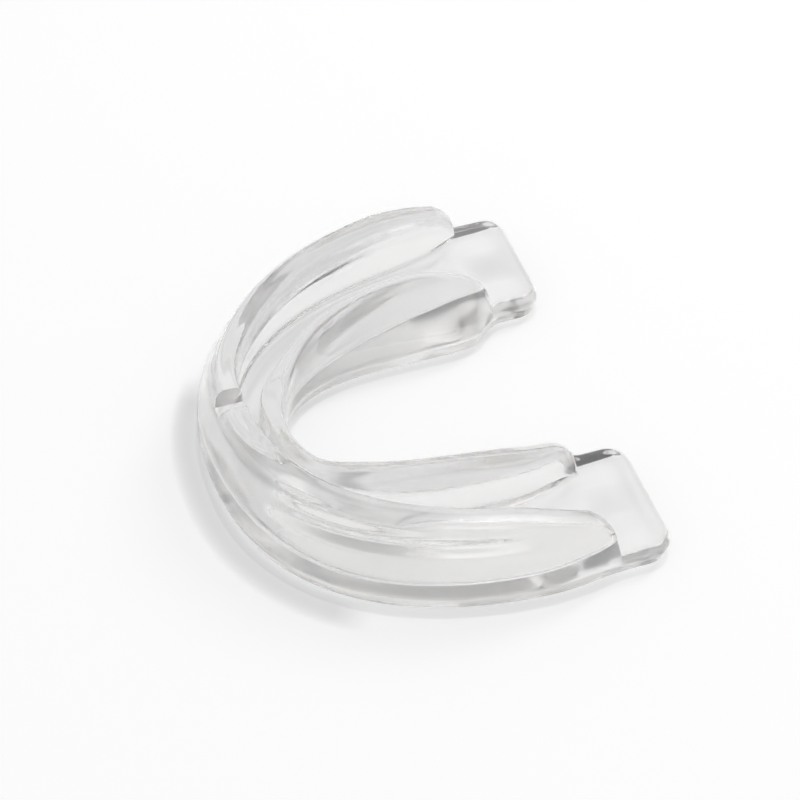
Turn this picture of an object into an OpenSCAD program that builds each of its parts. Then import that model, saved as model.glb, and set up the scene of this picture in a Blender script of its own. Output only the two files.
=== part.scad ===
// Clear mouthguard for the upper teeth, moulded in one piece.
// A plate bends round the dental arch. A tall outer wall lies against lips and cheeks,
// a lower inner wall lies against the tongue, and the teeth stand in the deep trough between them.
// The trough's floor is thin, and climbs at the back to the two thick, flat tabs.
// X runs across the two arms, Y from the front teeth to the back teeth, Z up.
// The origin is at the middle of the outline, on the underside.

/* [Arch] */
// Width across the outside of the two arms
arch_w = 62.6; // [54:0.2:72]
// Distance from the front of the curve to where the arms run straight
arch_depth = 40; // [30:0.5:48]
// Straight length of each arm, tab included
arm_l = 11; // [9:0.5:20]
// Squareness of the arch, where 2 is an ellipse
arch_square = 2.28; // [2:0.01:2.6]
// Width of the plate at the tabs
plate_tab_w = 17.8; // [15:0.1:19]
// Width of the plate at the front teeth
plate_front_w = 10.8; // [10:0.1:13]
// How much wider the plate swells towards the tongue at the molars
swell_w = 2.7; // [0:0.1:3.2]
// Distance along the arch from the front to where the swelling starts
swell_start = 17; // [8:0.5:24]
// Length over which it rises
swell_rise_l = 30; // [20:0.5:36]
// Length over which it falls away at the tab
swell_fall_l = 5.5; // [4:0.5:10]

/* [Trough] */
// Thickness of the trough's floor at the front teeth
floor_t_front = 1.3; // [1:0.1:3]
// Thickness of the floor at the premolars
floor_t_middle = 1.5; // [1:0.1:3]
// Thickness of the floor at the walls' back ends, before the climb to the tab
floor_t_back = 2.8; // [1:0.1:3.4]
// Distance before the walls' back ends at which the floor starts to climb to the tab
ramp_start = 8; // [4:0.5:12]
// Length over which the floor climbs
ramp_l = 9; // [6:0.5:12]

/* [Outer wall] */
// Height of the outer rim at the front teeth
outer_h_front = 15; // [11:0.1:20]
// Height of the outer rim at the canines
outer_h_canine = 13.6; // [11:0.1:20]
// Height of the outer rim at the molars
outer_h_molar = 13.4; // [11:0.1:20]
// Height of the outer rim at its back end
outer_h_back = 13.0; // [10:0.1:20]
// Thickness of the outer rim at the front teeth
outer_t_front = 3.5; // [2.4:0.1:4]
// Thickness of the outer rim at its back end
outer_t_back = 3.2; // [2.4:0.1:4]
// How far the middle of the outer rim stands in from the base at the front teeth
outer_in_front = 3.7; // [2.4:0.1:4.4]
// The same at the canines
outer_in_canine = 5.0; // [2.4:0.1:5.4]
// The same at the molars
outer_in_molar = 4.5; // [2.4:0.1:5.4]
// The same at the back end
outer_in_back = 2.6; // [2.2:0.1:4.4]
// How far the trough's foot reaches in under the outer rim at the front teeth
outer_cut_front = 0; // [-0.4:0.1:1]
// The same at the canines
outer_cut_canine = 2.3; // [0:0.1:2.8]
// The same at the molars
outer_cut_molar = 2.4; // [0:0.1:2.8]
// The same at the back end
outer_cut_back = 0.8; // [-0.4:0.1:1.4]
// Length over which the outer wall rounds down to the tab
outer_fall_l = 11; // [5:0.5:14]
// Width of the strip along the tab's outer edge that the wall comes down to
outer_end_w = 2.4; // [2:0.1:4]

/* [Inner wall] */
// Height of the inner rim at the front teeth
inner_h_front = 9.0; // [7:0.1:12]
// Height of the inner rim at the canines, where it is lowest
inner_h_canine = 8.6; // [7:0.1:12]
// Height of the inner rim at the premolars
inner_h_premolar = 11.0; // [8:0.1:14]
// Height of the inner rim at the molars
inner_h_molar = 12.2; // [8:0.1:15]
// Height of the inner rim at its back end
inner_h_back = 10.8; // [8:0.1:15]
// Thickness of the inner rim at the front teeth
inner_t_front = 2.6; // [1.4:0.1:3]
// Thickness of the inner rim at the canines, where it is thickest
inner_t_canine = 3.2; // [1.4:0.1:3.4]
// Thickness of the inner rim at the premolars
inner_t_premolar = 2.1; // [1.2:0.1:3]
// Thickness of the inner rim at the molars
inner_t_molar = 1.4; // [1:0.1:2.4]
// How far the middle of the inner rim stands in from the plate's edge at the front teeth
inner_in_front = 1.5; // [1.5:0.1:2]
// The same at the back end
inner_in_back = 3.0; // [1.4:0.1:3.6]
// Slope width of the trough side of the inner wall, from rim to floor, at the front teeth
inner_slope_front = 0.4; // [0.2:0.1:0.8]
// The same at the back end
inner_slope_back = 1.2; // [0.4:0.1:1.6]
// Length over which the inner wall rounds down to the tab
inner_fall_l = 9.5; // [4:0.5:12]
// Width of the strip along the tab's inner edge that the wall comes down to
inner_end_w = 4.4; // [2.4:0.1:5]

/* [Tabs] */
// Thickness of the tabs
tab_t = 4.2; // [3.4:0.1:6]
// Depth of the shallow hollow in the top of each tab
tab_dish = 0.4; // [0:0.1:0.8]
// Length of the flat tab behind the two walls
tab_l = 7.4; // [5:0.1:8.4]
// Radius of the tab's corners, seen from above
tab_corner_r = 3.2; // [2:0.1:4]

/* [Edges] */
// Radius of the edge round the underside
bottom_r = 1.4; // [0.8:0.1:1.6]
// Radius of the edge round the top of the tabs
top_r = 1.4; // [0.6:0.1:1.6]
// Radius where the walls meet the trough's floor
foot_r = 0.7; // [0.4:0.1:1]
// Squareness of the outer half of the rims, where 2 is round
rim_square_face = 2.2; // [2:0.1:4]
// Squareness of the half of the rims towards the trough
rim_square_trough = 4.5; // [2:0.1:6]

/* [Notch] */
// Width of the lip notch across the top of the rim
notch_w = 3.2; // [2:0.1:5]
// Width of the notch's floor
notch_floor_w = 1.7; // [0.6:0.1:2]
// Depth of the notch below the rim
notch_depth = 2.0; // [1:0.1:3.5]

/* [Hidden] */
corner_n = 4;
face_n = 5;
rim_n = 9;
wall_n = 2;
foot_n = 2;
floor_n = 3;
curve_n = 27;
fall_n = 10;
tab_n = 4;
end_n = 6;
outer_x = arch_w / 2;
inner_x = outer_x - plate_tab_w;
inner_depth = arch_depth - plate_front_w;
straight_y = arch_depth - (arch_depth + arm_l) / 2;
// Length along the middle of the plate from the front to the straight arms, near enough
curve_run = 0.8 * (outer_x + inner_x + arch_depth + inner_depth) / 2 * 1.04;
wall_run = curve_run + arm_l - tab_l;
total_run = curve_run + arm_l;

function mix(a, b, k) = a + (b - a) * k;
function sq(x) = x * x;
// 0 up to 0, then an even S up to 1
function ease(e) = let (c = min(max(e, 0), 1)) c * c * (3 - 2 * c);
// Smooth curve through evenly spaced values v, at p from 0 to 1
function through(v, p) =
    let (n = len(v) - 1, i = min(floor(p * n), n - 1), k = p * n - i,
         b = v[i], c = v[i + 1], a = i > 0 ? v[i - 1] : c, d = i < n - 1 ? v[i + 2] : 2 * c - b)
    b + k * ((c - a) / 2 + k * (a - 2.5 * b + 2 * c - d / 2 + k * (1.5 * (b - c) + (d - a) / 2)));
function bezier2(a, b, c, k) = mix(mix(a, b, k), mix(b, c, k), k);
function bezier3(a, b, c, d, k) = mix(bezier2(a, b, c, k), bezier2(b, c, d, k), k);
function polar(c, r, a) = c + r * [cos(a), sin(a)];
// Extra width of the plate at the molars
function swell(run) =
    swell_w * ease((run - swell_start) / swell_rise_l) * ease((wall_run + 1.5 - run) / swell_fall_l);
// 1 along a wall, falling as a quarter round over its last stretch, and 0 behind it
function standing(run, fall) =
    let (e = (run - wall_run + fall) / fall) e <= 0 ? 1 : e >= 1 ? 0 : sqrt(1 - sq(e));
// Height of the trough's floor, which climbs to the hollow of the tab
function floor_at(run) =
    let (trough = through([floor_t_front, floor_t_middle, floor_t_back], min(run / wall_run, 1)),
         dish = tab_dish * (1 - ease((run - wall_run - 2) / (tab_l - 3))))
    mix(trough, tab_t - dish, ease((run - wall_run + ramp_start) / ramp_l));
// Point of a rim at angle a, which starts at the trough side and sweeps over the top to the face
function rim_point(c, r, a, start, sweep) =
    let (t = a - start, trough_side = t < 90, u = trough_side ? t : 90 + 90 * (t - 90) / (sweep - 90),
         p = trough_side ? rim_square_trough : rim_square_face)
    polar(c, r * pow(pow(abs(cos(u)), p) + pow(abs(sin(u)), p), -1 / p), a);

// Half of a cross-section: up over one wall and down to the trough's floor, which ends at middle.
// Each point is [distance from the plate's edge, height].
function wall_half(middle, h, rim_r, inset, slope, floor_z) =
    let (c = [inset, h - rim_r],
         lean = atan2(inset - rim_r, h - rim_r - bottom_r),
         back = atan2(slope, h - rim_r - floor_z),
         top_a = 180 - lean,
         t1 = polar(c, rim_r, top_a),
         t2 = polar(c, rim_r, back),
         foot = [inset + rim_r + slope, floor_z],
         up = h - bottom_r,
         f1 = mix(foot, t2, foot_r / norm(t2 - foot)),
         f2 = foot + [min(foot_r, 0.8 * (middle - foot[0])), 0])
    [for (i = [1:face_n]) bezier3([0, bottom_r], [0, bottom_r + 0.4 * up],
                                  t1 - 0.3 * up * [sin(lean), cos(lean)], t1, i / (face_n + 1)),
     for (i = [0:rim_n]) rim_point(c, rim_r, mix(top_a, back, i / rim_n), back, top_a - back),
     for (i = [1:wall_n]) mix(t2, f1, i / (wall_n + 1)),
     for (i = [0:foot_n]) bezier2(f1, foot, f2, i / foot_n),
     for (i = [1:floor_n]) mix(f2, [middle, floor_z], i / (floor_n + 0.5))];
// The same where no wall stands: round the tab's edge, along the strip where a wall ends,
// then gently down to the tab's hollow
function tab_half(middle, floor_z, strip) =
    let (n = rim_n + wall_n + foot_n + 2)
    [for (i = [0:face_n - 1]) polar([top_r, tab_t - top_r], top_r, mix(180, 90, i / face_n)),
     for (i = [0:n + floor_n - 1])
         let (x = i < n ? mix(top_r, strip, i / n) : mix(strip, middle, (i - n) / (floor_n + 0.5)))
         [x, mix(tab_t, floor_z, ease((x - top_r) / (middle - top_r)))]];
function under_half() =
    [for (i = [0:corner_n]) polar([bottom_r, bottom_r], bottom_r, 270 - 90 * i / corner_n)];
function half(tab, wall, k) = concat(under_half(), [for (i = [0:len(wall) - 1]) mix(tab[i], wall[i], k)]);

// Whole cross-section at a distance along the arch
function section(run, w) =
    let (p = min(run / wall_run, 1),
         outer_r = mix(outer_t_front, outer_t_back, p) / 2,
         inner_r = through([inner_t_front, inner_t_canine, inner_t_premolar,
                            inner_t_molar, inner_t_molar, inner_t_molar], p) / 2,
         outer_in = through([outer_in_front, outer_in_canine, outer_in_molar, outer_in_back], p),
         inner_in = mix(inner_in_front, inner_in_back, p) + swell(run),
         outer_h = through([outer_h_front, outer_h_canine, outer_h_molar, outer_h_back], p),
         inner_h = through([inner_h_front, inner_h_canine, inner_h_premolar, inner_h_molar, inner_h_back], p),
         outer_slope = -through([outer_cut_front, outer_cut_canine, outer_cut_molar, outer_cut_back], p),
         inner_slope = mix(inner_slope_front, inner_slope_back, p),
         outer_foot = outer_in + outer_r + outer_slope,
         inner_foot = w - inner_in - inner_r - inner_slope,
         middle = (outer_foot + inner_foot) / 2,
         z = floor_at(run),
         outer = half(tab_half(middle, z, outer_end_w),
                      wall_half(middle, outer_h, outer_r, outer_in, outer_slope, z),
                      standing(run, outer_fall_l)),
         inner = half(tab_half(w - middle, z, inner_end_w),
                      wall_half(w - middle, inner_h, inner_r, inner_in, inner_slope, z),
                      standing(run, inner_fall_l)))
    concat(outer, [for (i = [len(inner) - 1:-1:0]) [w - inner[i][0], inner[i][1]]]);

// One section placed in space, with the tab's corners and back edge rounded off
function station(run, side) =
    let (a = 90 * min(run / curve_run, 1),
         s = pow(sin(a), 2 / arch_square),
         c = pow(cos(a), 2 / arch_square),
         y = straight_y + max(run - curve_run, 0),
         o = [side * outer_x * s, y - arch_depth * c],
         i = [side * (inner_x - swell(run)) * s, y - inner_depth * c],
         w = norm(i - o),
         left = total_run - run,
         e = left >= tab_corner_r ? 0 : tab_corner_r - sqrt(sq(tab_corner_r) - sq(tab_corner_r - left)),
         r = min(top_r, bottom_r),
         k = left >= r ? 1 : 1 - 2 * (r - sqrt(sq(r) - sq(r - left))) / tab_t)
    [for (q = section(run, w - 2 * e)) let (xy = mix(o, i, (q[0] + e) / w))
        [xy[0], xy[1], tab_t / 2 + (q[1] - tab_t / 2) * k]];

module loft(rows) {
    m = len(rows[0]);
    n = len(rows);
    polyhedron(points = [for (row = rows) each row],
        faces = concat([[for (j = [m - 1:-1:0]) j]],
            [for (i = [0:n - 2], j = [0:m - 1]) let (a = i * m + j, b = i * m + (j + 1) % m)
                each [[a, b + m, a + m], [a, b, b + m]]],
            [[for (j = [0:m - 1]) (n - 1) * m + j]]));
}

module mouthguard() {
    fall_start = wall_run - outer_fall_l;
    corner_start = total_run - tab_corner_r;
    runs = concat([for (i = [0:curve_n]) fall_start * i / curve_n],
                  [for (i = [1:fall_n]) fall_start + outer_fall_l * sin(90 * i / fall_n)],
                  [for (i = [1:tab_n]) mix(wall_run, corner_start, i / tab_n)],
                  [for (i = [1:end_n]) corner_start + tab_corner_r * sin(90 * i / end_n)]);
    n = len(runs) - 1;
    color("gainsboro", 0.5) difference() {
        loft(concat([for (i = [n:-1:1]) station(runs[i], -1)], [for (i = [0:n]) station(runs[i], 1)]));
        lip_notch();
    }
}

module lip_notch() {
    floor_z = outer_h_front - notch_depth;
    rise = outer_h_front;
    grow = (notch_w - notch_floor_w) / 2 / notch_depth;
    translate([0, straight_y - arch_depth + outer_in_front + outer_t_front, floor_z])
        rotate([90, 0, 0]) linear_extrude(2 * outer_t_front + outer_in_front)
            polygon([[-notch_floor_w / 2, 0], [notch_floor_w / 2, 0],
                     [notch_floor_w / 2 + grow * rise, rise], [-notch_floor_w / 2 - grow * rise, rise]]);
}

mouthguard();
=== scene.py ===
from math import atan2, cos, degrees, floor, hypot, pi, radians, sin, sqrt

import bpy
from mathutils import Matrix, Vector


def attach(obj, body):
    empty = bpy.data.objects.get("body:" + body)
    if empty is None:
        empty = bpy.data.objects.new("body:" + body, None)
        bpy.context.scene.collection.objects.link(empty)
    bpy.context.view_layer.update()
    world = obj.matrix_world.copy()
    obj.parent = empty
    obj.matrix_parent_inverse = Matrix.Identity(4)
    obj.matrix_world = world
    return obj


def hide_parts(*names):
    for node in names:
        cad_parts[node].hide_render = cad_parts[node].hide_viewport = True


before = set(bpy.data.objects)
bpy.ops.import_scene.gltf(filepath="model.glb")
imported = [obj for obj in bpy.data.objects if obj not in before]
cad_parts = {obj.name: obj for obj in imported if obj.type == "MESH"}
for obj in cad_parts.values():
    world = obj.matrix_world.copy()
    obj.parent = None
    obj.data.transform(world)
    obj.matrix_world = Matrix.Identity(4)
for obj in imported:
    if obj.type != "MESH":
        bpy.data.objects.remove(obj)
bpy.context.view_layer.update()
mm = 0.001
print("frame loaded:", list(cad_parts))


def fresh():
    # nothing stays selected when a new piece starts
    bpy.ops.object.select_all(action="DESELECT")


# one clear moulding, its section swept round the arch; millimetres, lists run from the front teeth to the back
guard = {
    "archWidth": 62.6, "archDepth": 40, "armLength": 11, "archSquare": 2.28, "curveShare": 0.832,
    "plateTabWidth": 17.8, "plateFrontWidth": 10.8, "tabThick": 4.2,
    "floorThick": [1.3, 1.55, 2.8], "rampStart": 8, "rampLength": 9,
    "swell": 2.7, "swellStart": 17, "swellRise": 30, "swellFall": 5.5, "swellPast": 1.5,
    "outerHeight": [15, 13.6, 13.4, 13.0], "outerThick": [3.5, 3.2],
    "outerIn": [3.7, 5.0, 4.5, 2.6], "outerSlope": [0.0, -2.3, -2.4, -0.8], "outerFall": 11,
    "innerHeight": [9.0, 8.6, 11.0, 12.2, 10.8], "innerThick": [2.6, 3.2, 2.1, 1.4, 1.4, 1.5],
    "innerIn": [1.5, 3.0], "innerSlope": [0.4, 0.5, 0.7, 0.9, 1.3], "innerFall": 9.5,
    "tabLength": 7.4, "tabCorner": 3.2, "tabStrip": [2.4, 4.4], "tabEdge": 1.9, "tabLowEdge": 0.25,
    "tabDish": 0.4, "dishStart": 2, "dishEnd": 1, "uprightLength": 6,
    "tabShift": -0.9, "shiftStart": 7, "shiftLength": 8,
    # soft ridges inside the outer wall: height at their start and end, half width, how far they stand out,
    # and where they start and end along the arch
    "ridges": [(5.2, 8.0, 1.6, 0.7, 8, 46), (8.2, 9.8, 1.2, 0.5, 10, 36)], "ridgeFade": 13,
    "bottomEdge": 0.7, "bevelHeight": 3.1, "bevelWidth": 0.74, "footEdge": [1.6, 2.0], "footShare": 0.8,
    # how square the rims are on each side, and how far the outer face is pulled along its two tangents
    "rimOuter": 2.2, "rimInner": 4.5, "facePull": [0.4, 0.3],
    "cornerSteps": 6, "bevelSteps": 4, "faceSteps": 16, "rimSteps": 22,
    "wallSteps": 36, "footSteps": 8, "floorSteps": 8,
    "curveSteps": 140, "fallSteps": 34, "tabSteps": 14, "endSteps": 14,
    "weld": 0.002, "smoothAngle": 32,
}
notch = {"width": 3.2, "floorWidth": 1.7, "depth": 2.0, "cutterHeight": 4}


def mix(a, b, k):
    return a + (b - a) * k


def mixPoint(a, b, k):
    return (mix(a[0], b[0], k), mix(a[1], b[1], k))


def easeIn(e):
    e = min(max(e, 0), 1)
    return e * e * (3 - 2 * e)


def smoothThrough(values, p):
    # a smooth curve that passes through evenly spaced values
    n = len(values) - 1
    i = min(floor(p * n), n - 1)
    k = p * n - i
    b, c = values[i], values[i + 1]
    a = values[i - 1] if i > 0 else c
    d = values[i + 2] if i < n - 1 else 2 * c - b
    return b + k * ((c - a) / 2 + k * (a - 2.5 * b + 2 * c - d / 2 + k * (1.5 * (b - c) + (d - a) / 2)))


def bend(points, k):
    # point on a curve pulled by its inner points
    while len(points) > 1:
        points = [mixPoint(a, b, k) for a, b in zip(points, points[1:])]
    return points[0]


def onCircle(centre, radius, angle):
    return (centre[0] + radius * cos(radians(angle)), centre[1] + radius * sin(radians(angle)))


outerX = guard["archWidth"] / 2
innerX = outerX - guard["plateTabWidth"]
innerDepth = guard["archDepth"] - guard["plateFrontWidth"]
straightY = guard["archDepth"] - (guard["archDepth"] + guard["armLength"]) / 2
# lengths from the front to the end of the curve, of the walls and of the tab
curveRun = guard["curveShare"] * (outerX + innerX + guard["archDepth"] + innerDepth) / 2
wallRun = curveRun + guard["armLength"] - guard["tabLength"]
totalRun = curveRun + guard["armLength"]


def swellAt(run):
    # the plate grows towards the tongue along the arms, and ends just past the walls
    rise = easeIn((run - guard["swellStart"]) / guard["swellRise"])
    fall = easeIn((wallRun + guard["swellPast"] - run) / guard["swellFall"])
    return guard["swell"] * rise * fall


def standing(run, fall):
    # 1 where a wall has its full height, down to 0 in a quarter round where it ends
    e = (run - wallRun + fall) / fall
    return 1 if e <= 0 else 0 if e >= 1 else sqrt(1 - e * e)


def rimPoint(centre, radius, angle, back, sweep):
    # squarer towards the trough, rounder towards the face
    turned = angle - back
    square = guard["rimInner"] if turned < 90 else guard["rimOuter"]
    if turned > 90:
        turned = 90 + 90 * (turned - 90) / (sweep - 90)
    stretch = (abs(cos(radians(turned))) ** square + abs(sin(radians(turned))) ** square) ** (-1 / square)
    return onCircle(centre, radius * stretch, angle)


def ridgeAt(height, run):
    total = 0
    for first, last, half, out, start, end in guard["ridges"]:
        middle = mix(first, last, (run - start) / (end - start))
        fade = easeIn((run - start) / guard["ridgeFade"]) * easeIn((end - run) / guard["ridgeFade"])
        total += out * easeIn(1 - abs(height - middle) / half) * fade
    return total


def wallHalf(middle, height, rimRadius, inset, slope, floorZ, foot, run=None):
    # up the leaning face, over the rim, down into the trough and along its floor; a run adds the ridges
    low = guard["bevelHeight"]
    centre = (inset, height - rimRadius)
    lean = degrees(atan2(inset - rimRadius, height - rimRadius - low))
    back = degrees(atan2(slope, height - rimRadius - floorZ))
    topAngle = 180 - lean
    outerTop = onCircle(centre, rimRadius, topAngle)
    innerTop = onCircle(centre, rimRadius, back)
    corner = (inset + rimRadius + slope, floorZ)
    wallEnd = mixPoint(corner, innerTop, foot / hypot(innerTop[0] - corner[0], innerTop[1] - corner[1]))
    floorStart = (corner[0] + min(foot, guard["footShare"] * (middle - corner[0])), floorZ)
    lowPull, topPull = (share * (height - low) for share in guard["facePull"])
    faceCurve = [(0, low), (0, low + lowPull),
                 (outerTop[0] - topPull * sin(radians(lean)), outerTop[1] - topPull * cos(radians(lean))),
                 outerTop]
    points = [bend(faceCurve, i / (guard["faceSteps"] + 1)) for i in range(1, guard["faceSteps"] + 1)]
    points += [rimPoint(centre, rimRadius, mix(topAngle, back, i / guard["rimSteps"]), back, topAngle - back)
               for i in range(guard["rimSteps"] + 1)]
    for i in range(1, guard["wallSteps"] + 1):
        x, z = mixPoint(innerTop, wallEnd, i / (guard["wallSteps"] + 1))
        points.append((x if run is None else x + ridgeAt(z, run), z))
    n = guard["footSteps"]
    points += [bend([wallEnd, corner, floorStart], i / n) for i in range(n + 1)]
    # half a step short of the middle, where the other half begins
    n = guard["floorSteps"]
    points += [mixPoint(floorStart, (middle, floorZ), i / (n + 0.5)) for i in range(1, n + 1)]
    return points


def tabHalf(middle, floorZ, strip):
    # round the top edge, along the strip where a wall ends, then gently down to the hollow
    radius, plate = guard["tabEdge"], guard["tabThick"]
    n = guard["faceSteps"]
    points = [onCircle((radius, plate - radius), radius, mix(180, 90, i / n)) for i in range(n)]
    n = guard["rimSteps"] + guard["wallSteps"] + guard["footSteps"] + 2
    across = [mix(radius, strip, i / n) for i in range(n)]
    n = guard["floorSteps"]
    across += [mix(strip, middle, i / (n + 0.5)) for i in range(n)]
    for x in across:
        points.append((x, mix(plate, floorZ, easeIn((x - radius) / (middle - radius)))))
    return points


def underHalf(high, upright):
    # round the lower edge, then out along the bevel to the mould's parting line
    wide = guard["bevelWidth"] * high / guard["bevelHeight"] * (1 - upright)
    radius = mix(guard["bottomEdge"], guard["tabLowEdge"], upright)
    tilt = degrees(atan2(wide, high))
    points = [onCircle((wide + radius, radius), radius, mix(270, 180 + tilt, i / guard["cornerSteps"]))
              for i in range(guard["cornerSteps"] + 1)]
    n = guard["bevelSteps"]
    return points + [mixPoint(points[-1], (0, high), i / n) for i in range(1, n + 1)]


def halfSection(tab, wall, k, upright):
    high = mix(guard["tabThick"] - guard["tabEdge"], guard["bevelHeight"], k)
    return underHalf(high, upright) + [mixPoint(t, w, k) for t, w in zip(tab, wall)]


def floorAt(run):
    # the trough's floor climbs to the tab, whose top is a little hollow
    trough = smoothThrough(guard["floorThick"], min(run / wallRun, 1))
    dishLength = guard["tabLength"] - guard["dishStart"] - guard["dishEnd"]
    hollow = guard["tabDish"] * (1 - easeIn((run - wallRun - guard["dishStart"]) / dishLength))
    climb = easeIn((run - wallRun + guard["rampStart"]) / guard["rampLength"])
    return mix(trough, guard["tabThick"] - hollow, climb)


def section(run, width, side):
    p = min(run / wallRun, 1)
    # the tabs' edges on the left side stand upright
    upright = easeIn((run - wallRun + guard["uprightLength"]) / guard["uprightLength"])
    outerR = mix(*guard["outerThick"], p) / 2
    innerR = smoothThrough(guard["innerThick"], p) / 2
    outerIn = smoothThrough(guard["outerIn"], p)
    innerIn = mix(*guard["innerIn"], p) + swellAt(run)
    outerSlope = smoothThrough(guard["outerSlope"], p)
    innerSlope = smoothThrough(guard["innerSlope"], p)
    outerFoot = outerIn + outerR + outerSlope
    innerFoot = width - innerIn - innerR - innerSlope
    middle = (outerFoot + innerFoot) / 2
    floorZ = floorAt(run)
    outer = halfSection(
        tabHalf(middle, floorZ, guard["tabStrip"][0]),
        wallHalf(middle, smoothThrough(guard["outerHeight"], p), outerR, outerIn, outerSlope, floorZ,
                 guard["footEdge"][0], run),
        standing(run, guard["outerFall"]), upright if side < 0 else 0)
    inner = halfSection(
        tabHalf(width - middle, floorZ, guard["tabStrip"][1]),
        wallHalf(width - middle, smoothThrough(guard["innerHeight"], p), innerR, innerIn, innerSlope, floorZ,
                 guard["footEdge"][1]),
        standing(run, guard["innerFall"]), upright if side > 0 else 0)
    return outer + [(width - x, z) for x, z in reversed(inner)]


def acrossLine(run, side):
    # the outer and the inner end of the line across the plate, seen from above
    angle = pi / 2 * min(run / curveRun, 1)
    power = 2 / guard["archSquare"]
    s, c = sin(angle) ** power, max(cos(angle), 0) ** power
    y = straightY + max(run - curveRun, 0)
    outer = (side * outerX * s, y - guard["archDepth"] * c)
    return outer, (side * (innerX - swellAt(run)) * s, y - innerDepth * c)


def station(run, side):
    o, i = acrossLine(run, side)
    width = hypot(i[0] - o[0], i[1] - o[1])
    left = max(totalRun - run, 0)
    corner, radius, thick = guard["tabCorner"], guard["tabEdge"], guard["tabThick"]
    # the tab's corners narrow the section, and its end edge makes it thinner
    e = 0 if left >= corner else corner - sqrt(corner ** 2 - (corner - left) ** 2)
    squeeze = 1 if left >= radius else 1 - 2 * (radius - sqrt(radius ** 2 - (radius - left) ** 2)) / thick
    # this guard's tabs both stand a little to one side
    shift = guard["tabShift"] * easeIn((run - wallRun + guard["shiftStart"]) / guard["shiftLength"])
    points = []
    for across, z in section(run, width - 2 * e, side):
        x, y = mixPoint(o, i, (across + e) / width)
        points.append(Vector((x + shift, y, thick / 2 + (z - thick / 2) * squeeze)) * mm)
    return points


def buildGuard():
    fallStart = wallRun - guard["outerFall"]
    cornerStart = totalRun - guard["tabCorner"]
    runs = [fallStart * i / guard["curveSteps"] for i in range(guard["curveSteps"] + 1)]
    runs += [fallStart + guard["outerFall"] * sin(pi / 2 * i / guard["fallSteps"])
             for i in range(1, guard["fallSteps"] + 1)]
    runs += [mix(wallRun, cornerStart, i / guard["tabSteps"]) for i in range(1, guard["tabSteps"] + 1)]
    runs += [cornerStart + guard["tabCorner"] * sin(pi / 2 * i / guard["endSteps"])
             for i in range(1, guard["endSteps"] + 1)]
    rows = [station(run, -1) for run in reversed(runs[1:])] + [station(run, 1) for run in runs]
    across, along = len(rows[0]), len(rows)
    fresh()
    # a flat grid, one column more than the section has points, so that it closes on itself
    bpy.ops.mesh.primitive_grid_add(x_subdivisions=across, y_subdivisions=along - 1, size=1)
    piece = bpy.context.object
    piece.name = "guardShell"
    for vertex in piece.data.vertices:
        column = round((vertex.co.x + 0.5) * across) % across
        row = round((vertex.co.y + 0.5) * (along - 1))
        vertex.co = rows[row][column]
    bpy.ops.object.mode_set(mode="EDIT")
    bpy.ops.mesh.select_all(action="SELECT")
    bpy.ops.mesh.remove_doubles(threshold=guard["weld"] * mm)
    bpy.ops.mesh.select_all(action="DESELECT")
    bpy.ops.mesh.select_mode(type="EDGE")
    bpy.ops.mesh.select_non_manifold()
    bpy.ops.mesh.edge_face_add()
    bpy.ops.mesh.select_all(action="SELECT")
    bpy.ops.mesh.normals_make_consistent(inside=False)
    bpy.ops.object.mode_set(mode="OBJECT")
    print("guard shell:", len(piece.data.vertices), "vertices,", len(piece.data.polygons), "faces")
    return piece


def cutNotch(piece):
    rise = notch["cutterHeight"]
    grow = (notch["width"] - notch["floorWidth"]) / 2 / notch["depth"]
    floorZ = guard["outerHeight"][0] - notch["depth"]
    length = 2 * guard["outerThick"][0] + guard["outerIn"][0]
    backY = straightY - guard["archDepth"] + guard["outerIn"][0] + guard["outerThick"][0]
    fresh()
    bpy.ops.mesh.primitive_cube_add(size=1, location=(0, 0, 0))
    cutter = bpy.context.object
    cutter.name = "notchCutter"
    for vertex in cutter.data.vertices:
        top = vertex.co.z > 0
        wide = notch["floorWidth"] / 2 + (grow * rise if top else 0)
        vertex.co = Vector((2 * vertex.co.x * wide, backY + (vertex.co.y - 0.5) * length,
                            floorZ + (rise if top else 0))) * mm
    fresh()
    piece.select_set(True)
    bpy.context.view_layer.objects.active = piece
    cut = piece.modifiers.new("notch", "BOOLEAN")
    cut.operation = "DIFFERENCE"
    cut.solver = "MANIFOLD"
    cut.object = cutter
    bpy.ops.object.modifier_apply(modifier="notch")
    bpy.data.objects.remove(cutter)
    bpy.ops.object.shade_smooth_by_angle(angle=radians(guard["smoothAngle"]))
    print("notch cut:", len(piece.data.polygons), "faces")


def fill(links, socket, value):
    # a socket takes another node's output or a plain value
    if isinstance(value, bpy.types.NodeSocket):
        links.new(value, socket)
    else:
        socket.default_value = value


def calculate(nodes, links, operation, first, second, clamp=False):
    node = nodes.new("ShaderNodeMath")
    node.operation = operation
    node.use_clamp = clamp
    fill(links, node.inputs[0], first)
    fill(links, node.inputs[1], second)
    return node.outputs[0]


def blendColors(nodes, links, share, first, second):
    node = nodes.new("ShaderNodeMix")
    node.data_type = "RGBA"
    # the mix node keeps its colour sockets behind those for numbers and vectors
    for number, value in zip((0, 6, 7), (share, first, second)):
        fill(links, node.inputs[number], value)
    return node.outputs[2]


def blendShaders(nodes, links, share, first, second):
    node = nodes.new("ShaderNodeMixShader")
    for socket, value in zip(node.inputs, (share, first, second)):
        fill(links, socket, value)
    return node.outputs[0]


def softNoise(nodes, links, coords, scale, detail):
    node = nodes.new("ShaderNodeTexNoise")
    node.inputs["Scale"].default_value = scale
    node.inputs["Detail"].default_value = detail
    links.new(coords.outputs["Object"], node.inputs["Vector"])
    return node.outputs["Fac"]


def newMaterial(name):
    material = bpy.data.materials.new(name)
    material.use_nodes = True
    nodes, links = material.node_tree.nodes, material.node_tree.links
    nodes.clear()
    output = nodes.new("ShaderNodeOutputMaterial")
    return material, nodes, links, output.inputs["Surface"]


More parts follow.
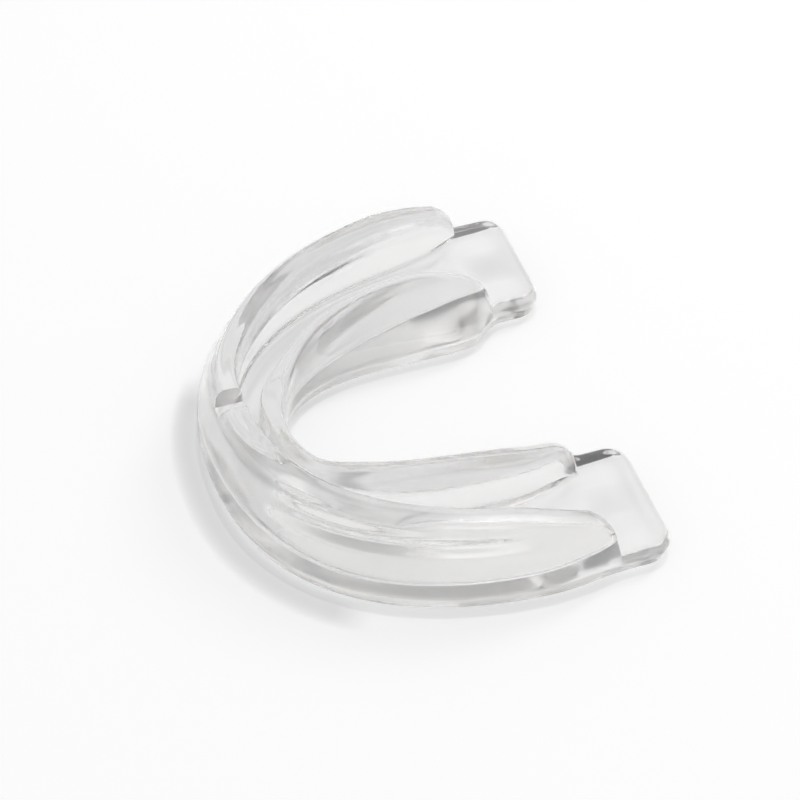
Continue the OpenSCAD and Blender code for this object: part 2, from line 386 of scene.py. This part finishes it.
# clear, a little hazy, roughness in soft clouds and a very fine ripple
evaFinish = {
    "tint": (0.985, 0.982, 0.975, 1), "ior": 1.48, "clearShare": 0.93,
    "hazeScale": 160, "hazeDetail": 3, "hazeLow": 0.4, "hazeHigh": 0.75, "roughLow": 0.07, "roughHigh": 0.13,
    "rippleScale": 260, "rippleDetail": 2, "rippleStrength": 0.04, "rippleDepth": 0.2,
    "shadowFlat": (0.98, 0.98, 0.985, 1), "shadowEdge": (0.34, 0.34, 0.35, 1), "shadowBlend": 0.35,
}


def clearEva():
    material, nodes, links, surface = newMaterial("clearEva")
    shader = nodes.new("ShaderNodeBsdfPrincipled")
    shader.inputs["Base Color"].default_value = evaFinish["tint"]
    shader.inputs["IOR"].default_value = evaFinish["ior"]
    shader.inputs["Transmission Weight"].default_value = evaFinish["clearShare"]
    coords = nodes.new("ShaderNodeTexCoord")
    haze = nodes.new("ShaderNodeMapRange")
    haze.inputs["From Min"].default_value = evaFinish["hazeLow"]
    haze.inputs["From Max"].default_value = evaFinish["hazeHigh"]
    haze.inputs["To Min"].default_value = evaFinish["roughLow"]
    haze.inputs["To Max"].default_value = evaFinish["roughHigh"]
    clouds = softNoise(nodes, links, coords, evaFinish["hazeScale"], evaFinish["hazeDetail"])
    links.new(clouds, haze.inputs["Value"])
    links.new(haze.outputs["Result"], shader.inputs["Roughness"])
    bump = nodes.new("ShaderNodeBump")
    bump.inputs["Strength"].default_value = evaFinish["rippleStrength"]
    bump.inputs["Distance"].default_value = evaFinish["rippleDepth"] * mm
    ripple = softNoise(nodes, links, coords, evaFinish["rippleScale"], evaFinish["rippleDetail"])
    links.new(ripple, bump.inputs["Height"])
    links.new(bump.outputs["Normal"], shader.inputs["Normal"])
    # light passes on to the floor, so that the shadow stays pale; edges hold back more of it than flat places do
    clear = nodes.new("ShaderNodeBsdfTransparent")
    edge = nodes.new("ShaderNodeLayerWeight")
    edge.inputs["Blend"].default_value = evaFinish["shadowBlend"]
    shade = blendColors(nodes, links, edge.outputs["Facing"], evaFinish["shadowFlat"], evaFinish["shadowEdge"])
    links.new(shade, clear.inputs["Color"])
    lightPath = nodes.new("ShaderNodeLightPath")
    passing = calculate(nodes, links, "MAXIMUM", lightPath.outputs["Is Shadow Ray"],
                        lightPath.outputs["Is Diffuse Ray"])
    links.new(blendShaders(nodes, links, passing, shader.outputs["BSDF"], clear.outputs["BSDF"]), surface)
    return material


shell = buildGuard()
cutNotch(shell)
shell.data.materials.clear()
shell.data.materials.append(clearEva())
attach(shell, "root")
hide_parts("mouthguard")
print("guard ready")


# the floor lies a little below the guard, and its glow is seen by the camera but lights nothing
floorLook = {"color": (0.8, 0.8, 0.8, 1), "glow": 0.36, "size": 3000, "height": -0.15}


def seenDirectly(nodes, links):
    # 1 for what the camera sees, itself or through the clear piece
    lightPath = nodes.new("ShaderNodeLightPath")
    first = calculate(nodes, links, "MAXIMUM", lightPath.outputs["Is Camera Ray"],
                      lightPath.outputs["Is Glossy Ray"])
    return calculate(nodes, links, "MAXIMUM", first, lightPath.outputs["Is Transmission Ray"])


def buildFloor():
    fresh()
    bpy.ops.mesh.primitive_plane_add(size=floorLook["size"] * mm, location=(0, 0, floorLook["height"] * mm))
    floorPiece = bpy.context.object
    floorPiece.name = "studioFloor"
    material, nodes, links, surface = newMaterial("paleFloor")
    matt = nodes.new("ShaderNodeBsdfDiffuse")
    matt.inputs["Color"].default_value = floorLook["color"]
    glow = nodes.new("ShaderNodeEmission")
    strength = calculate(nodes, links, "MULTIPLY", seenDirectly(nodes, links), floorLook["glow"])
    links.new(strength, glow.inputs["Strength"])
    both = nodes.new("ShaderNodeAddShader")
    links.new(matt.outputs["BSDF"], both.inputs[0])
    links.new(glow.outputs["Emission"], both.inputs[1])
    links.new(both.outputs["Shader"], surface)
    floorPiece.data.materials.append(material)


# two dim cards high above, which the lower edge of the near arm mirrors, and painted shade: dark sheets on the
# floor under the tabs' edges and at the end of the near wall, standing in for contact shadow; height and corners
# seen from above in mm
cards = [
    {"name": "dimCard", "height": 45, "color": (0.39, 0.385, 0.38, 1),
     "corners": [(-36, -8), (-2, -8), (-7, 36), (-36, 55)]},
    {"name": "frontCard", "height": 45, "color": (0.39, 0.385, 0.38, 1),
     "corners": [(13, -25), (22, -25), (22, -17), (13, -17)]},
    # the three sheets below are painted shade on the floor, seen only through the clear piece
    {"name": "farTabShade", "height": -0.07, "color": (0.12, 0.12, 0.12, 1),
     "corners": [(-32.6, 18.4), (-31.4, 18.4), (-31.6, 24.0), (-32.6, 24.6)]},
    {"name": "nearTabShade", "height": -0.07, "color": (0.02, 0.02, 0.022, 1),
     "corners": [(12.2, 18.4), (13.4, 18.4), (13.2, 24.0), (12.2, 24.6)]},
    {"name": "bandEndShade", "height": -0.07, "color": (0.24, 0.24, 0.245, 1),
     "corners": [(10.5, 18.2), (12.2, 18.2), (12.2, 19.4), (10.5, 19.4)]},
]


def layCards():
    for card in cards:
        fresh()
        bpy.ops.mesh.primitive_plane_add(size=1)
        sheet = bpy.context.object
        sheet.name = card["name"]
        # a plane's corners run left front, right front, left back, right back
        for number, corner in zip((0, 1, 3, 2), card["corners"]):
            sheet.data.vertices[number].co = Vector((*corner, card["height"])) * mm
        material, nodes, links, surface = newMaterial(card["name"])
        glow = nodes.new("ShaderNodeEmission")
        glow.inputs["Color"].default_value = card["color"]
        links.new(glow.outputs["Emission"], surface)
        sheet.data.materials.append(material)
        sheet.visible_camera = False
        sheet.visible_diffuse = False
        sheet.visible_shadow = False


# painted shade and painted light on the floor, in strips along the arch, seen through the clear walls;
# each row: middle of the strip at its start and at its end, in from the outer edge, then its width,
# its start and end along the arch (far arm below 0, near arm above), how far it covers, and its tone
shades = {
    "height": -0.1, "rows": 160, "softPower": 4, "frontPower": 12,
    "strips": [
        (1.6, 1.6, 1.6, -48, 4, 0.06, 0.3),
        (1.5, 1.5, 1.6, -4, 48, 0.34, 0.3),
        (3.2, 3.2, 1.0, -48, 4, 0.2, 0.3),
        (3.2, 3.2, 1.0, -4, 35, 0.28, 0.3),
        # this one lies outside the guard and is seen directly, as a painted soft shadow beside the front
        (-1.5, -1.5, 4.8, -16, 27, 0.33, 0.3),
        # a streak of painted shade and two of painted light under the near trough, and one of painted light
        # under the near rim's front
        (9.7, 11.2, 2.6, 13, 35, 0.68, 0.24),
        (11.2, 8.8, 1.7, 30, 44, 0.9, 1.08),
        (3.7, 3.7, 1.3, 33, 48, 0.95, 1.15),
        (4.9, 1.2, 1.0, 5, 21, 0.85, 1.15),
        # faint painted shade under the tabs
        (7.0, 7.0, 7.0, -58, -51, 0.28, 0.3),
        (11.5, 11.5, 6.0, 51, 58, 0.14, 0.3),
    ],
}


def softStrength(nodes, links, powers):
    # strongest in the middle of the strip, and gone at its edges and ends
    place = nodes.new("ShaderNodeUVMap")
    split = nodes.new("ShaderNodeSeparateXYZ")
    links.new(place.outputs["UV"], split.inputs[0])
    strengths = []
    for axis, power in zip("XY", powers):
        back = calculate(nodes, links, "SUBTRACT", 1, split.outputs[axis])
        bow = calculate(nodes, links, "MULTIPLY", split.outputs[axis], back)
        strengths.append(calculate(nodes, links, "MULTIPLY", bow, power, True))
    return calculate(nodes, links, "MULTIPLY", *strengths)


def layShades():
    for number, (first, last, wide, start, end, cover, tone) in enumerate(shades["strips"]):
        fresh()
        bpy.ops.mesh.primitive_grid_add(x_subdivisions=2, y_subdivisions=shades["rows"], size=1)
        strip = bpy.context.object
        strip.name = "wallShade" + str(number + 1)
        for vertex in strip.data.vertices:
            run = mix(start, end, vertex.co.y + 0.5)
            o, i = acrossLine(abs(run), -1 if run < 0 else 1)
            width = hypot(i[0] - o[0], i[1] - o[1])
            across = mix(first, last, vertex.co.y + 0.5) + vertex.co.x * wide
            vertex.co = Vector((*mixPoint(o, i, across / width), shades["height"])) * mm
        material, nodes, links, surface = newMaterial(strip.name)
        clear = nodes.new("ShaderNodeBsdfTransparent")
        dim = nodes.new("ShaderNodeEmission")
        dim.inputs["Color"].default_value = (tone, tone, tone, 1)
        # a strip that passes the front fades only near its ends
        powers = (shades["softPower"], shades["frontPower" if start * end < 0 else "softPower"])
        covered = calculate(nodes, links, "MULTIPLY", softStrength(nodes, links, powers), cover)
        links.new(blendShaders(nodes, links, covered, clear.outputs["BSDF"], dim.outputs["Emission"]), surface)
        strip.data.materials.append(material)
        strip.visible_camera = first < 0
        strip.visible_diffuse = False
        strip.visible_shadow = False


room = {
    # brightness at a height, from the horizon up, and a tint that is strongest at the horizon
    "tones": [(0.0, 0.46), (0.1, 0.52), (0.25, 0.64), (0.52, 0.78), (0.70, 0.79), (0.86, 0.79), (0.95, 0.96)],
    "tint": (1.02, 1.0, 0.96),
    # soft patches: direction, cosine where one starts and where it is full, colour, how far it covers
    "patches": [((-0.947, 0.322, 0.03), 0.97, 0.996, (0.34, 0.33, 0.31), 0.9),
                ((0.05, 0.3, 0.95), 0.95, 0.985, (1.4, 1.34, 1.27), 0.95),
                ((0.3, -0.75, 0.6), 0.93, 0.98, (0.95, 0.97, 1.0), 0.7),
                ((-0.354, 0.612, 0.707), 0.982, 0.994, (1.25, 1.23, 1.2), 0.9)],
    # what the camera sees past the floor, and how much of the room's light falls on the floor
    "backdrop": (0.5, 0.5, 0.5, 1), "light": 0.45,
}


def buildRoom():
    world = bpy.data.worlds.new("room")
    bpy.context.scene.world = world
    world.use_nodes = True
    nodes, links = world.node_tree.nodes, world.node_tree.links
    nodes.clear()
    output = nodes.new("ShaderNodeOutputWorld")
    background = nodes.new("ShaderNodeBackground")
    heights = nodes.new("ShaderNodeTexCoord")
    split = nodes.new("ShaderNodeSeparateXYZ")
    ramp = nodes.new("ShaderNodeValToRGB")
    links.new(heights.outputs["Generated"], split.inputs[0])
    links.new(split.outputs["Z"], ramp.inputs[0])
    stops = ramp.color_ramp.elements
    for number, (height, tone) in enumerate(room["tones"]):
        # a new ramp comes with two stops
        stop = stops[number] if number < 2 else stops.new(height)
        stop.position = height
        stop.color = (*(tone * mix(1, part, 1 - height) for part in room["tint"]), 1)
    color = ramp.outputs["Color"]
    for direction, inner, outer, patchColor, cover in room["patches"]:
        side = nodes.new("ShaderNodeVectorMath")
        side.operation = "DOT_PRODUCT"
        side.inputs[1].default_value = Vector(direction).normalized()
        links.new(heights.outputs["Generated"], side.inputs[0])
        edge = nodes.new("ShaderNodeMapRange")
        edge.interpolation_type = "SMOOTHSTEP"
        edge.inputs["From Min"].default_value = inner
        edge.inputs["From Max"].default_value = outer
        edge.inputs["To Max"].default_value = cover
        links.new(side.outputs["Value"], edge.inputs["Value"])
        color = blendColors(nodes, links, edge.outputs["Result"], color, (*patchColor, 1))
    lightPath = nodes.new("ShaderNodeLightPath")
    seen = blendColors(nodes, links, lightPath.outputs["Is Camera Ray"], color, room["backdrop"])
    links.new(seen, background.inputs["Color"])
    # the room lights the floor less than it shows in the clear piece
    strength = nodes.new("ShaderNodeMapRange")
    strength.inputs["To Min"].default_value = 1
    strength.inputs["To Max"].default_value = room["light"]
    links.new(lightPath.outputs["Is Diffuse Ray"], strength.inputs["Value"])
    links.new(strength.outputs["Result"], background.inputs["Strength"])
    links.new(background.outputs["Background"], output.inputs["Surface"])


# places and sizes in metres, power in watts
lamps = [
    {"name": "keyStrip", "at": (-0.30, 0.66, 0.78), "size": (0.2, 0.5), "power": 2.85,
     "color": (0.97, 0.985, 1)},
    {"name": "topBox", "at": (-0.06, 0.08, 1.0), "size": (0.05, 0.05), "power": 2.0,
     "color": (0.98, 0.99, 1)},
    {"name": "frontStrip", "at": (0.45, -0.75, 0.5), "size": (0.08, 0.6), "power": 0.35,
     "color": (0.98, 0.99, 1)},
]
lampAim = Vector((0, 0, 0.005))


def hangLamps():
    for lamp in lamps:
        fresh()
        bpy.ops.object.light_add(type="AREA", location=lamp["at"])
        box = bpy.context.object
        box.name = lamp["name"]
        box.data.shape = "RECTANGLE"
        box.data.size, box.data.size_y = lamp["size"]
        box.data.energy = lamp["power"]
        box.data.color = lamp["color"]
        # the lamps light the floor, and the clear piece shows the room instead of them
        box.visible_glossy = False
        box.visible_transmission = False
        box.rotation_euler = (lampAim - box.location).to_track_quat("-Z", "Y").to_euler()


camera = {"at": (169.6, -57.6, 201.6), "aim": (-0.56, 0.22, 6.44), "lens": 93.8, "sensor": 36, "clipStart": 10}


def setCamera():
    fresh()
    position, aim = Vector(camera["at"]) * mm, Vector(camera["aim"]) * mm
    bpy.ops.object.camera_add(location=position)
    eye = bpy.context.object
    eye.name = "mainCamera"
    eye.rotation_euler = (aim - position).to_track_quat("-Z", "Y").to_euler()
    eye.data.sensor_width = camera["sensor"]
    eye.data.lens = camera["lens"]
    eye.data.clip_start = camera["clipStart"] * mm
    bpy.context.scene.camera = eye


# light is mirrored many times inside the clear piece, so it may bounce often
bounces = {"clear": 24, "glossy": 12}

setCamera()
buildFloor()
layCards()
layShades()
buildRoom()
hangLamps()
scene = bpy.context.scene
scene.view_settings.view_transform = "Standard"
scene.cycles.caustics_refractive = False
scene.cycles.caustics_reflective = False
scene.cycles.max_bounces = bounces["clear"]
scene.cycles.transmission_bounces = bounces["clear"]
scene.cycles.glossy_bounces = bounces["glossy"]
scene.cycles.transparent_max_bounces = bounces["clear"]
print("studio ready")
